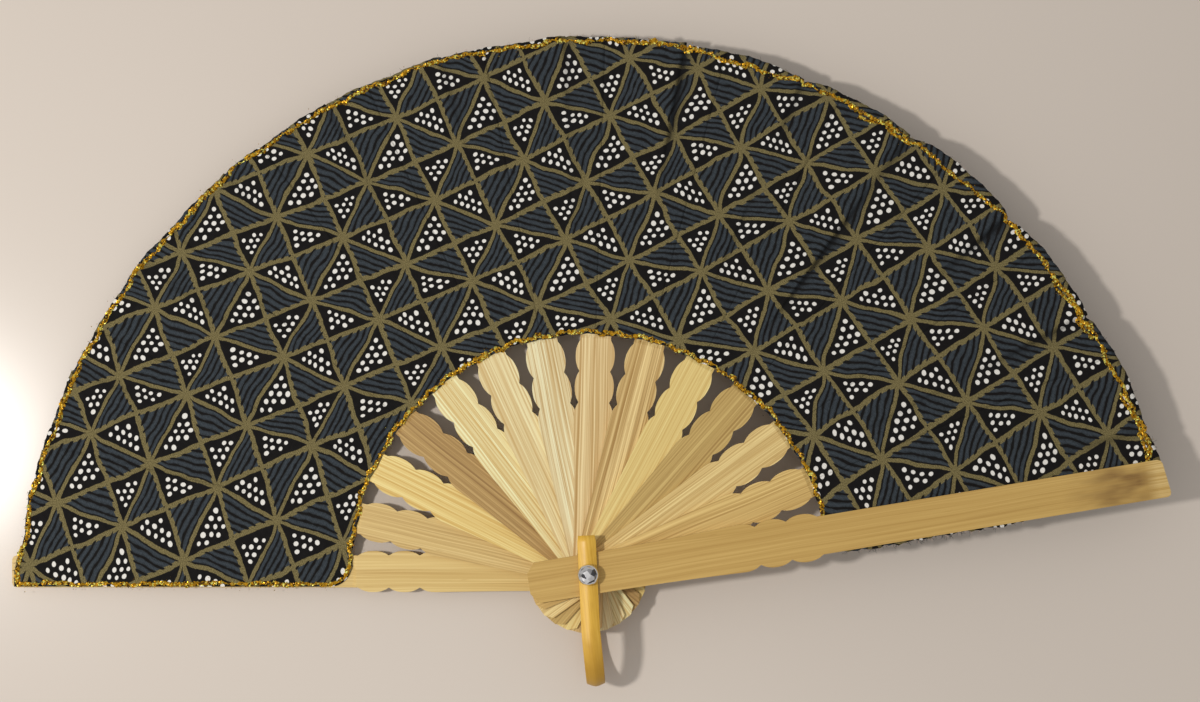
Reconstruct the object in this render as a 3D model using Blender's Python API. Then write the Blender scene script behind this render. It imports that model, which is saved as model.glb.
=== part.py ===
"""Folding hand fan, open: bamboo sticks on one rivet, a cloth leaf glued to them, and a bail loop.

The pivot axis is Z. The open leaf points along +Y, its printed face looks along +Z, and the back
guard lies at the -X end of the leaf. The stack starts at Z = 0, the underside of the rivet's head.
"""

import math

import bmesh
import bpy
from mathutils import Vector

MM = 0.001

# The open fan.
SPREAD = math.radians(170.5)
STICK_COUNT = 14

# The rivet and the stack of sticks along it.
PIN_RADIUS = 1.5 * MM
PIN_HEAD_RADIUS = 3.6 * MM
PIN_HEAD_THICKNESS = 1.0 * MM
PIN_CLEARANCE = 0.3 * MM
STACK_GAP = 0.3 * MM
GUARD_THICKNESS = 2.0 * MM
RIB_THICKNESS = 1.0 * MM

# Lengths along a stick, from the pivot.
GUARD_REACH = 208.7 * MM
HEAD_REACH = 21.3 * MM
GUARD_TIP_SLANT = 1.7 * MM
GUARD_TIP_CORNER = 1.6 * MM
RIB_TIP_CORNER = 0.8 * MM

# Notches on both edges of a stick, ahead of the leaf.
NOTCH_COUNT = 3
NOTCH_PITCH = 11.2 * MM
NOTCH_BEFORE_LEAF = 2.0 * MM
BUMP_ROUNDNESS = 2.4
BUMP_STEPS = 8

# Half widths: at the pivot, at a notch, how far a bump stands out of it, and behind the leaf.
FRONT_GUARD_WIDTHS = (7.25 * MM, 6.8 * MM, 1.7 * MM, 6.8 * MM)
BACK_GUARD_WIDTHS = (6.9 * MM, 5.8 * MM, 1.65 * MM, 5.8 * MM)
RIB_WIDTHS = (5.6 * MM, 5.5 * MM, 1.5 * MM, 2.4 * MM)
GUARD_HEAD_CLIP = 3.6 * MM
RIB_HEAD_CLIP = 2.6 * MM
TAPER_STEPS = 6

# The leaf, and how the sticks are thinned to carry it.
LEAF_INNER = 85.4 * MM
LEAF_OUTER = 192.3 * MM
LEAF_END_GROWTH = 15.0 * MM
LEAF_GROWTH_POWER = 2.5
LEAF_THICKNESS = 0.3 * MM
LEAF_GAP = 0.2 * MM
LEAF_TOP_CLEARANCE = 0.1 * MM
LEAF_PAST_RIBS = 4.3 * MM
LEAF_ARC_STEPS = 8
LEAF_BACK_MARGIN = 5.5 * MM
LEAF_FRONT_MARGIN = 6.3 * MM
THINNING_LENGTH = 1.2 * MM
SLIP_TAPER_LENGTH = 14.0 * MM

# The bail loop: a bent strip, its front leg on top of the stack and its back leg under it.
LOOP_ANGLE = math.radians(-92.0)
LOOP_WIDTH = 6.6 * MM
LOOP_THICKNESS = 2.0 * MM
LOOP_EDGE_THICKNESS = 1.1 * MM
LOOP_TAIL = 13.8 * MM
LOOP_HEAD_CLEARANCE = 1.0 * MM
LOOP_BEND_DEPTH = 17.5 * MM
LOOP_BEND_STEPS = 20

# The cup and the crystal on top of the rivet.
CUP_RADIUS = 3.75 * MM
CUP_HEIGHT = 1.9 * MM
CUP_FLOOR = 0.6 * MM
CUP_RIM = 0.7 * MM
CRYSTAL_CLEARANCE = 0.25 * MM
CRYSTAL_HEIGHT = 2.4 * MM
CRYSTAL_SIDES = 12
ROUND_SIDES = 48

# The bamboo's tone on each inner rib, from the back guard to the front guard.
RIB_TONES = "tan pale tan pale pale pale tan tan pale tan pale tan".split()

# Levels along the pivot, from the back of the rivet to its front.
PITCH = SPREAD / (STICK_COUNT - 1)
BACK_LEG_BOTTOM = PIN_HEAD_THICKNESS + STACK_GAP
BACK_GUARD_BOTTOM = BACK_LEG_BOTTOM + LOOP_THICKNESS + STACK_GAP
FIRST_RIB_BOTTOM = BACK_GUARD_BOTTOM + GUARD_THICKNESS + STACK_GAP
RIB_STEP = RIB_THICKNESS + STACK_GAP
RIB_COUNT = STICK_COUNT - 2
FRONT_GUARD_BOTTOM = FIRST_RIB_BOTTOM + RIB_COUNT * RIB_STEP
FRONT_LEG_BOTTOM = FRONT_GUARD_BOTTOM + GUARD_THICKNESS + STACK_GAP
CUP_BOTTOM = FRONT_LEG_BOTTOM + LOOP_THICKNESS + STACK_GAP
PIN_TOP = CUP_BOTTOM - STACK_GAP

# How much a stick is thinned where the cloth lies on it, and where the ribs end behind the cloth.
THINNING = LEAF_THICKNESS + LEAF_GAP + LEAF_TOP_CLEARANCE
RIB_REACH = LEAF_OUTER - LEAF_PAST_RIBS
THINNING_START = LEAF_INNER - LEAF_GAP - THINNING_LENGTH
LAST_NOTCH = LEAF_INNER - NOTCH_BEFORE_LEAF
FIRST_NOTCH = LAST_NOTCH - (NOTCH_COUNT - 1) * NOTCH_PITCH


def clear_scene():
    for existing in list(bpy.data.objects):
        bpy.data.objects.remove(existing, do_unlink=True)


def make_material(name, color, roughness, metallic=0.0, alpha=1.0):
    material = bpy.data.materials.new(name)
    material.use_nodes = True
    shader = material.node_tree.nodes["Principled BSDF"]
    shader.inputs["Base Color"].default_value = (*color, 1.0)
    shader.inputs["Roughness"].default_value = roughness
    shader.inputs["Metallic"].default_value = metallic
    shader.inputs["Alpha"].default_value = alpha
    material.diffuse_color = (*color, alpha)
    return material


def finish_object(name, mesh_builder, material):
    """Turns a bmesh into a named object with outward normals."""
    bmesh.ops.recalc_face_normals(mesh_builder, faces=mesh_builder.faces)
    mesh = bpy.data.meshes.new(name)
    mesh_builder.to_mesh(mesh)
    mesh_builder.free()
    mesh.materials.append(material)
    built = bpy.data.objects.new(name, mesh)
    bpy.context.scene.collection.objects.link(built)
    return built


def loft(sections):
    """A closed bmesh skin over rings of points, with a flat cap at each end."""
    skin = bmesh.new()
    rings = [[skin.verts.new(point) for point in section] for section in sections]
    for ring, following in zip(rings, rings[1:]):
        for i in range(len(ring)):
            j = (i + 1) % len(ring)
            skin.faces.new((ring[i], ring[j], following[j], following[i]))
    skin.faces.new(rings[0])
    skin.faces.new(reversed(rings[-1]))
    return skin


def prism(outline, bottom, top):
    """A closed bmesh between two levels over a flat outline."""
    return loft([[Vector((x, y, level)) for x, y in outline] for level in (bottom, top)])


def turned(profile, sides):
    """A closed bmesh spun about Z from (radius, level) points, the first and last on the axis."""
    skin = bmesh.new()
    rings = []
    for radius, level in profile:
        around = sides if radius else 1
        turn = [2 * math.pi * i / sides for i in range(around)]
        rings.append([skin.verts.new((radius * math.cos(a), radius * math.sin(a), level)) for a in turn])
    for ring, following in zip(rings, rings[1:]):
        for i in range(sides):
            j = (i + 1) % sides
            if len(ring) == 1:
                skin.faces.new((ring[0], following[j], following[i]))
            elif len(following) == 1:
                skin.faces.new((ring[i], ring[j], following[0]))
            else:
                skin.faces.new((ring[i], ring[j], following[j], following[i]))
    return skin


def drill(target, cutter):
    cut = target.modifiers.new("pivot_hole", "BOOLEAN")
    cut.operation = "DIFFERENCE"
    cut.solver = "EXACT"
    cut.object = cutter


def make_cutter():
    """One cylinder through the whole stack, which leaves the running clearance round the rivet."""
    radius = PIN_RADIUS + PIN_CLEARANCE
    margin = 5 * MM
    profile = [(0, -margin), (radius, -margin), (radius, CUP_BOTTOM + margin), (0, CUP_BOTTOM + margin)]
    red = make_material("cutter", (1, 0, 0), 1)
    cutter = finish_object("pivot_hole_cutter", turned(profile, ROUND_SIDES), red)
    cutter.hide_render = True
    cutter.display_type = "WIRE"
    return cutter


def bump_half_width(distance, notch_half, bump_depth):
    """Half the width at a distance along the notched run: round bumps that meet at sharp notches."""
    across = ((distance - FIRST_NOTCH) / NOTCH_PITCH) % 1
    return notch_half + bump_depth * (1 - abs(2 * across - 1) ** BUMP_ROUNDNESS)


def stick_widths(widths, reach, head_clip, tip_corner):
    """(distance from the pivot, half width) along one stick, from its head to its tip."""
    pivot_half, notch_half, bump_depth, leaf_half = widths
    stations = [(-HEAD_REACH, pivot_half - head_clip)]
    stations += [(head_clip * 0.8 - HEAD_REACH, pivot_half), (0, pivot_half)]
    bump_start = FIRST_NOTCH - NOTCH_PITCH / 2
    widest = notch_half + bump_depth
    for i in range(1, TAPER_STEPS):
        share = i / TAPER_STEPS
        stations.append((bump_start * share, pivot_half + (widest - pivot_half) * share**2))
    for i in range(BUMP_STEPS // 2 + (NOTCH_COUNT - 1) * BUMP_STEPS):
        distance = bump_start + NOTCH_PITCH * i / BUMP_STEPS
        stations.append((distance, bump_half_width(distance, notch_half, bump_depth)))
    stations.append((LAST_NOTCH, notch_half))
    stations.append((THINNING_START, notch_half))
    stations.append((THINNING_START + THINNING_LENGTH, notch_half))
    stations.append((THINNING_START + THINNING_LENGTH + SLIP_TAPER_LENGTH, leaf_half))
    stations.append((reach - tip_corner, leaf_half))
    stations.append((reach - tip_corner * 0.3, leaf_half - tip_corner * 0.3))
    stations.append((reach, leaf_half - tip_corner))
    return stations


def make_stick(name, widths, reach, clip, corner, slant, full, bottom_cut, top_cut, material):
    """A flat stick along +X, full thickness up to the leaf and thinned from below or above behind it."""
    sections = []
    for distance, half in stick_widths(widths, reach, clip, corner):
        thinned = distance > THINNING_START + THINNING_LENGTH / 2
        low = bottom_cut if thinned else 0
        high = full - (top_cut if thinned else 0)
        tip_slant = slant if distance > reach - 2 * corner else 0
        near = distance - tip_slant + tip_slant * half / widths[3]
        far = distance - tip_slant - tip_slant * half / widths[3]
        sections.append([(near, -half, low), (far, half, low), (far, half, high), (near, -half, high)])
    return finish_object(name, loft(sections), material)


def place(built, angle, level):
    built.location = (0, 0, level)
    built.rotation_euler = (0, 0, angle)


def stick_angle(index):
    """The angle of a stick from +X: the back guard is number 0, the front guard the last."""
    return math.pi / 2 + SPREAD / 2 - index * PITCH


def leaf_outer(angle):
    """The leaf's outer radius at an angle from +X: it grows towards both ends."""
    share = abs(angle - math.pi / 2) / (SPREAD / 2)
    return LEAF_OUTER + LEAF_END_GROWTH * min(share, 1) ** LEAF_GROWTH_POWER


def leaf_outline(stick, before, after, margin):
    """A sector of the leaf in its stick's own frame, with a straight strip past a guard's middle."""
    turns = [before + (after - before) * i / LEAF_ARC_STEPS for i in range(LEAF_ARC_STEPS + 1)]
    centre = stick_angle(stick)
    outer = [(leaf_outer(centre + t) * math.cos(t), leaf_outer(centre + t) * math.sin(t)) for t in turns]
    inner = [(LEAF_INNER * math.cos(t), LEAF_INNER * math.sin(t)) for t in reversed(turns)]
    if margin > 0:
        outer.append((outer[-1][0], margin))
        inner.insert(0, (inner[0][0], margin))
    elif margin < 0:
        outer.insert(0, (outer[0][0], margin))
        inner.append((inner[-1][0], margin))
    return outer + inner


def make_leaf_panel(name, stick, before, after, margin, level, material, carrier):
    outline = leaf_outline(stick, before, after, margin)
    panel = finish_object(name, prism(outline, level, level + LEAF_THICKNESS), material)
    panel.parent = carrier
    return panel


def loop_path():
    """Middle line of the loop as (distance from the pivot, level): front leg, bend, back leg."""
    half = LOOP_THICKNESS / 2
    top, bottom = FRONT_LEG_BOTTOM + half, BACK_LEG_BOTTOM + half
    leg_end = HEAD_REACH + LOOP_HEAD_CLEARANCE
    middle, rise = (top + bottom) / 2, (top - bottom) / 2
    bend = []
    for i in range(LOOP_BEND_STEPS + 1):
        turn = math.pi / 2 - math.pi * i / LOOP_BEND_STEPS
        bend.append((leg_end + LOOP_BEND_DEPTH * math.cos(turn), middle + rise * math.sin(turn)))
    legs = [-LOOP_TAIL, -LOOP_TAIL / 2, 0, leg_end / 2]
    return [(x, top) for x in legs] + bend + [(x, bottom) for x in reversed(legs)]


def make_loop(material, cutter):
    """The bent strip: flat towards the stack, its outside raised to a ridge along the middle."""
    path = loop_path()
    sections = []
    half_width, half = LOOP_WIDTH / 2, LOOP_THICKNESS / 2
    shoulder = LOOP_EDGE_THICKNESS - half
    for i, (x, z) in enumerate(path):
        ahead, behind = path[min(i + 1, len(path) - 1)], path[max(i - 1, 0)]
        along = Vector((ahead[0] - behind[0], ahead[1] - behind[1])).normalized()
        outward = Vector((-along[1], along[0]))
        section = []
        for across, lift in (
            (-half_width, -half),
            (-half_width, shoulder),
            (-half_width * 0.55, half * 0.75),
            (0, half),
            (half_width * 0.55, half * 0.75),
            (half_width, shoulder),
            (half_width, -half),
        ):
            section.append((x + outward[0] * lift, across, z + outward[1] * lift))
        sections.append(section)
    loop = finish_object("bail_loop", loft(sections), material)
    place(loop, LOOP_ANGLE, 0)
    drill(loop, cutter)
    return loop


def make_rivet(metal, glass):
    pin = [
        (0, 0),
        (PIN_HEAD_RADIUS, 0),
        (PIN_HEAD_RADIUS, PIN_HEAD_THICKNESS * 0.6),
        (PIN_HEAD_RADIUS * 0.85, PIN_HEAD_THICKNESS),
        (PIN_RADIUS, PIN_HEAD_THICKNESS),
        (PIN_RADIUS, PIN_TOP),
        (0, PIN_TOP),
    ]
    finish_object("rivet_pin", turned(pin, ROUND_SIDES), metal)

    seat_radius = CUP_RADIUS - CUP_RIM
    cup = [
        (0, 0),
        (CUP_RADIUS * 0.7, 0),
        (CUP_RADIUS * 0.93, CUP_HEIGHT * 0.3),
        (CUP_RADIUS, CUP_HEIGHT * 0.65),
        (CUP_RADIUS - CUP_RIM / 2, CUP_HEIGHT),
        (seat_radius, CUP_HEIGHT),
        (seat_radius * 0.9, CUP_FLOOR),
        (0, CUP_FLOOR),
    ]
    place(finish_object("rivet_cup", turned(cup, ROUND_SIDES), metal), 0, CUP_BOTTOM)

    foot = seat_radius * 0.9 - CRYSTAL_CLEARANCE
    girdle = seat_radius - CRYSTAL_CLEARANCE
    girdle_level = CUP_HEIGHT - CUP_FLOOR - CRYSTAL_CLEARANCE
    stone = [(0, 0), (foot, 0), (girdle, girdle_level), (girdle * 0.78, CRYSTAL_HEIGHT * 0.8)]
    stone += [(girdle * 0.5, CRYSTAL_HEIGHT), (0, CRYSTAL_HEIGHT)]
    crystal = finish_object("rivet_crystal", turned(stone, CRYSTAL_SIDES), glass)
    place(crystal, 0, CUP_BOTTOM + CUP_FLOOR + CRYSTAL_CLEARANCE)


def make_back_guard(bamboo, cloth, cutter):
    guard = make_stick(
        "back_guard",
        BACK_GUARD_WIDTHS,
        GUARD_REACH,
        GUARD_HEAD_CLIP,
        GUARD_TIP_CORNER,
        0,
        GUARD_THICKNESS,
        0,
        THINNING,
        bamboo,
    )
    place(guard, stick_angle(0), BACK_GUARD_BOTTOM)
    drill(guard, cutter)
    level = GUARD_THICKNESS - THINNING + LEAF_GAP
    make_leaf_panel("leaf_at_back_guard", 0, -PITCH / 2, 0, LEAF_BACK_MARGIN, level, cloth, guard)


def make_front_guard(bamboo, cloth, cutter):
    last = STICK_COUNT - 1
    guard = make_stick(
        "front_guard",
        FRONT_GUARD_WIDTHS,
        GUARD_REACH,
        GUARD_HEAD_CLIP,
        GUARD_TIP_CORNER,
        GUARD_TIP_SLANT / 2,
        GUARD_THICKNESS,
        THINNING,
        0,
        bamboo,
    )
    place(guard, stick_angle(last), FRONT_GUARD_BOTTOM)
    drill(guard, cutter)
    margin = -LEAF_FRONT_MARGIN
    make_leaf_panel("leaf_at_front_guard", last, 0, PITCH / 2, margin, LEAF_TOP_CLEARANCE, cloth, guard)


def make_ribs(bamboo_tones, cloth, cutter):
    level = RIB_THICKNESS - THINNING + LEAF_GAP
    for i in range(1, RIB_COUNT + 1):
        rib = make_stick(
            f"rib_{i:02d}",
            RIB_WIDTHS,
            RIB_REACH,
            RIB_HEAD_CLIP,
            RIB_TIP_CORNER,
            0,
            RIB_THICKNESS,
            0,
            THINNING,
            bamboo_tones[RIB_TONES[i - 1]],
        )
        place(rib, stick_angle(i), FIRST_RIB_BOTTOM + (i - 1) * RIB_STEP)
        drill(rib, cutter)
        make_leaf_panel(f"leaf_at_rib_{i:02d}", i, -PITCH / 2, PITCH / 2, 0, level, cloth, rib)


def main():
    clear_scene()
    guard_bamboo = make_material("guard_bamboo", (0.55, 0.36, 0.12), 0.5)
    rib_bamboo = {
        "pale": make_material("pale_bamboo", (0.70, 0.54, 0.25), 0.55),
        "tan": make_material("tan_bamboo", (0.50, 0.34, 0.13), 0.55),
    }
    cloth = make_material("leaf_cloth", (0.03, 0.04, 0.045), 0.9)
    metal = make_material("rivet_metal", (0.80, 0.80, 0.82), 0.15, metallic=1.0)
    glass = make_material("crystal", (0.95, 0.95, 0.97), 0.03, alpha=0.35)
    cane = make_material("loop_cane", (0.70, 0.42, 0.03), 0.3)

    cutter = make_cutter()
    make_back_guard(guard_bamboo, cloth, cutter)
    make_ribs(rib_bamboo, cloth, cutter)
    make_front_guard(guard_bamboo, cloth, cutter)
    make_loop(cane, cutter)
    make_rivet(metal, glass)


main()
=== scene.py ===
"""Folding hand fan, open: bamboo sticks, a printed cotton leaf, glitter edging, a cane bail loop."""

import math
import random

import bmesh
import bpy
import numpy as np
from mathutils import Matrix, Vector


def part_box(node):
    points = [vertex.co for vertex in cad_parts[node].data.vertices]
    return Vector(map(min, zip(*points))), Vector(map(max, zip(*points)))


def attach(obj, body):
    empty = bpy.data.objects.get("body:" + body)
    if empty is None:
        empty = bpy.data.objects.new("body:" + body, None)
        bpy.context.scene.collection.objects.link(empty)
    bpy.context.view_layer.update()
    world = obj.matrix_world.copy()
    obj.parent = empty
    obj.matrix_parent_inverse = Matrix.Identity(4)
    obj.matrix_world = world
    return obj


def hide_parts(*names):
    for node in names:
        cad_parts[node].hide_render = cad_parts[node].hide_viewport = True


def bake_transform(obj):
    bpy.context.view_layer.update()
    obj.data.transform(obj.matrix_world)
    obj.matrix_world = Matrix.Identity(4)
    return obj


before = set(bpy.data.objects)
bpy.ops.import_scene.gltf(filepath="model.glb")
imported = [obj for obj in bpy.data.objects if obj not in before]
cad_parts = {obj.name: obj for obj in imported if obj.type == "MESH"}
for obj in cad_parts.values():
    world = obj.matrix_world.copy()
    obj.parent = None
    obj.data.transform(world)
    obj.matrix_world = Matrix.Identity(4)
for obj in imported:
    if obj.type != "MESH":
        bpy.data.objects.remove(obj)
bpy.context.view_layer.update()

MM = 0.001
TAU = 2 * math.pi

# The fan's layout, as its sticks and leaf are cut.
SPREAD = math.radians(170.5)
STICK_COUNT = 14
PITCH = SPREAD / (STICK_COUNT - 1)
LEAF_INNER = 85.4 * MM
LEAF_OUTER = 192.3 * MM
LEAF_END_GROWTH = 15.0 * MM
LEAF_GROWTH_POWER = 2.5
PANEL_RUN = 44.0  # along the outer edge, in mm

# The cloth: its thickness, how far it settles on a rib, and what laps each guard.
CLOTH_THICKNESS = 0.28 * MM
CLOTH_SETTLE = 0.1 * MM
BACK_MARGIN = 5.5 * MM
FRONT_MARGIN = 5.9 * MM
FRAY_REACH = 1.5 * MM
CORNER_RADIUS = 8.0 * MM
TIP_OVERHANG = 2.6 * MM

# A slip is the thin end of a stick inside the leaf: half its width at its foot, and once it has narrowed.
SLIP_FOOT, SLIP_TOP = 5.6 * MM, 2.5 * MM
SLIP_NARROWS = (86 * MM, 98 * MM)

# The printed cloth: how the round leaf lies on the flat bolt, and the print's ruled cells, in mm.
# The rulings are drawn out of true: every star and every plain crossing is shifted by its own step.
BOLT_TURN = 1.148
BOLT_EASE = 0.037
BOLT_SHIFT = 15.6
CELL_ORIGIN = (-4.7, -20.0)
CELL_ACROSS = (17.92, math.radians(20.7))
CELL_DOWN = (16.22, math.radians(-66.9))
STAR_SHIFT = (1.3, 1.7)
CROSSING_SHIFT = (1.16, -1.10)
RULE_HALF = 0.74
DIAGONAL_HALF = 0.62
STAR_RADIUS = 1.75
OUTLINE_END = 1.12
DOT_RADIUS = 0.73
DOT_FIRST_ROW = 2.55
DOT_ROW_STEP = 2.35
DOT_SPACING = 2.68
DOT_CLEAR = 2.45
DOT_SHAKE = 0.3
STRIPE_PITCH = 2.15
PRINT_SWAY = 2.2
PRINT_SHAKE = 0.14

# How much light falls on a level surface: paints are given as they look under it.
LIGHT_LEVEL = 0.86

STICK_BODIES = ["back_guard"] + [f"rib_{i:02d}" for i in range(1, STICK_COUNT - 1)] + ["front_guard"]
LEAF_NODES = ["leaf_at_" + body for body in STICK_BODIES]


def paint(red, green, blue, strength=1.0):
    """The surface colour that looks like this 0 to 255 screen colour under the studio light."""
    shades = []
    for value in (red, green, blue):
        share = value / 255
        linear = share / 12.92 if share <= 0.04045 else ((share + 0.055) / 1.055) ** 2.4
        shades.append(min(linear * strength / LIGHT_LEVEL, 0.98))
    return (*shades, 1.0)


# ---------------------------------------------------------------- finishes


class Flow:
    """A value running through a finish. Sums and products on it add Math nodes."""

    def __init__(self, finish, socket):
        self.finish, self.socket = finish, socket

    def reckon(self, operation, *values):
        return self.finish.add("ShaderNodeMath", {"operation": operation}, *values)

    def __add__(self, other):
        return self.reckon("ADD", self, other)

    def __sub__(self, other):
        return self.reckon("SUBTRACT", self, other)

    def __rsub__(self, other):
        return self.reckon("SUBTRACT", other, self)

    def __mul__(self, other):
        return self.reckon("MULTIPLY", self, other)

    def __truediv__(self, other):
        return self.reckon("DIVIDE", self, other)

    def __rtruediv__(self, other):
        return self.reckon("DIVIDE", other, self)

    def __mod__(self, other):
        return self.reckon("FLOORED_MODULO", self, other)

    def __pow__(self, other):
        return self.reckon("POWER", self, other)

    def __gt__(self, other):
        return self.reckon("GREATER_THAN", self, other)

    def __abs__(self):
        return self.reckon("ABSOLUTE", self)

    def __floor__(self):
        return self.reckon("FLOOR", self)

    __radd__ = __add__
    __rmul__ = __mul__


class Finish:
    """The nodes of one material, or of the studio's backdrop."""

    def __init__(self, name, kind="materials"):
        self.holder = getattr(bpy.data, kind).new(name)
        self.holder.use_nodes = True
        self.tree = self.holder.node_tree
        self.tree.nodes.clear()

    def add(self, kind, settings, *values, out=0, **named):
        """Adds a node: its settings first, then its sockets by place or by name. It gives output out, or all."""
        node = self.tree.nodes.new(kind)
        for key, value in settings.items():
            setattr(node, key, value)
        for key, value in [*enumerate(values), *named.items()]:
            if value is None:
                continue
            socket = node.inputs[key if isinstance(key, int) else key.replace("_", " ")]
            if isinstance(value, Flow):
                self.tree.links.new(value.socket, socket)
            else:
                socket.default_value = value
        flows = [Flow(self, output) for output in node.outputs]
        return flows[out] if flows and out is not None else flows

    def smaller(self, first, second):
        return self.add("ShaderNodeMath", {"operation": "MINIMUM"}, first, second)

    def larger(self, first, second):
        return self.add("ShaderNodeMath", {"operation": "MAXIMUM"}, first, second)

    def root(self, value):
        return self.add("ShaderNodeMath", {"operation": "SQRT"}, value)

    def sine(self, value):
        return self.add("ShaderNodeMath", {"operation": "SINE"}, value)

    def ramp(self, value, start, end, low=0.0, high=1.0):
        """low before start, high after end, straight between them."""
        return self.add("ShaderNodeMapRange", {}, value, start, end, low, high)

    def tint(self, share, first, second, way="MIX"):
        """Two colours mixed, between the sockets that a Mix node keeps for colour."""
        settings = {"data_type": "RGBA", "blend_type": way}
        not_for_colour = [None] * 5
        return self.add("ShaderNodeMix", settings, share, *not_for_colour, first, second, out=2)

    def moved(self, way, first, second):
        return self.add("ShaderNodeVectorMath", {"operation": way}, first, second)

    def level(self, vector):
        """The direction, one long."""
        return self.add("ShaderNodeVectorMath", {"operation": "NORMALIZE"}, vector)

    def split(self, vector):
        return self.add("ShaderNodeSeparateXYZ", {}, vector, out=None)

    def surface_place(self):
        """The point's own coordinates on the piece."""
        return self.add("ShaderNodeTexCoord", {}, out=3)

    def joined(self, x, y, z=0.0):
        return self.add("ShaderNodeCombineXYZ", {}, x, y, z)

    def noise(self, vector, scale, detail=2.0, roughness=0.5, flat=False, out=0):
        settings = {"noise_dimensions": "2D" if flat else "3D"}
        return self.add(
            "ShaderNodeTexNoise", settings, Vector=vector, Scale=scale, Detail=detail, Roughness=roughness, out=out
        )

    def lot(self, x, y, z=0.0, out=0):
        """A number, or with out=1 three of them, drawn by lot for each cell."""
        return self.add("ShaderNodeTexWhiteNoise", {}, self.joined(x, y, z), out=out)

    def bump(self, height, distance, strength=1.0, under=None):
        return self.add("ShaderNodeBump", {}, Height=height, Distance=distance, Strength=strength, Normal=under)

    def close(self, **sockets):
        """The Principled shader and the output."""
        shader = self.add("ShaderNodeBsdfPrincipled", {}, **sockets)
        self.add("ShaderNodeOutputMaterial", {}, shader)
        return self.holder


def below(finish, value, edge, soft=0.16):
    """1 where the value is under the edge, with a soft line between."""
    clamped = {"operation": "MULTIPLY_ADD", "use_clamp": True}
    return finish.add("ShaderNodeMath", clamped, value - edge, -1 / soft, 0.5)


def flat_vector(length, angle):
    return length * math.cos(angle), length * math.sin(angle)


def cell_shares(x, y):
    """A flat vector's shares of one cell across and one cell down."""
    (across_x, across_y), (down_x, down_y) = flat_vector(*CELL_ACROSS), flat_vector(*CELL_DOWN)
    size = across_x * down_y - down_x * across_y
    return x * (down_y / size) + y * (-down_x / size), x * (-across_y / size) + y * (across_x / size)


def ruled_place(x, y):
    """How many cells across and down a point lies, on the rulings as they are drawn."""
    star_column, star_row = cell_shares(*STAR_SHIFT)
    crossing_column, crossing_row = cell_shares(*CROSSING_SHIFT)
    column_even, row_even = cell_shares(x - CELL_ORIGIN[0], y - CELL_ORIGIN[1])
    column, row = column_even, row_even
    for _ in range(2):
        swing_column = 1 - abs(column % 2 - 1)
        swing_row = 1 - abs(row % 2 - 1)
        at_star, at_crossing = swing_column + swing_row - 1, swing_column - swing_row
        column = column_even - at_star * (star_column / 2) - at_crossing * (crossing_column / 2)
        row = row_even - at_star * (star_row / 2) - at_crossing * (crossing_row / 2)
    return column, row


class PrintCell:
    """Where points of the cloth lie in their ruled cell, and beside the wavy diagonal that splits it.

    A turned cell has its diagonal the other way. Depth is the distance from the diagonal and run the distance
    along it. The cell's dotted half lies beyond the diagonal in odd columns, and before it in even ones.
    """

    def __init__(self, f, x, y):
        (width, across_angle), (height, down_angle) = CELL_ACROSS, CELL_DOWN
        column_run, row_run = ruled_place(x, y)
        self.column, self.row = math.floor(column_run), math.floor(row_run)
        self.p, self.q = column_run - self.column, row_run - self.row
        odd, self.low = self.column % 2, self.row % 2
        self.turned = abs(odd - self.low)
        self.share = self.p + self.turned * (1 - self.p * 2)

        square = math.cos(across_angle - down_angle)
        self.upright = math.sqrt(1 - square**2)
        self.surface = width * height * self.upright
        self.skew = (1 - self.turned * 2) * (square * width * height)
        self.length = f.root(self.skew * 2 + (width * width + height * height))

        own = f.split(f.lot(self.column, self.row, out=1))
        curl = f.sine((self.share + self.q) * (TAU / 2)) * (own[0] * own[1] * 0.8 + self.turned * 0.3 - 0.12)
        offset = (self.share - self.q) * self.surface / self.length + curl
        self.beyond = offset > 0
        self.dotted = 1 - abs(self.beyond - odd)
        self.depth = abs(offset)
        run = (self.share * (self.skew + width * width) + self.q * (self.skew + height * height)) / self.length
        self.run = run + (1 - self.beyond) * (self.length - run * 2)


def drawn_lines(f, cell, swell, teeth):
    """The ruled lines with their teeth, the diagonal, and the star where they meet."""
    width, height = CELL_ACROSS[0], CELL_DOWN[0]
    to_rule = f.smaller(f.smaller(cell.p, 1 - cell.p) * width, f.smaller(cell.q, 1 - cell.q) * height)
    near_star = f.root((cell.share * width) ** 2 + (cell.q * height) ** 2)
    far_star = f.root(((1 - cell.share) * width) ** 2 + ((1 - cell.q) * height) ** 2)
    rule = below(f, to_rule, teeth + (swell * 0.5 + (RULE_HALF - 0.25)))
    diagonal = below(f, cell.depth, swell * 0.5 + (DIAGONAL_HALF - 0.25))
    star = below(f, f.smaller(near_star, far_star), STAR_RADIUS, 0.5)
    return f.larger(f.larger(rule, diagonal), star)


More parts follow.
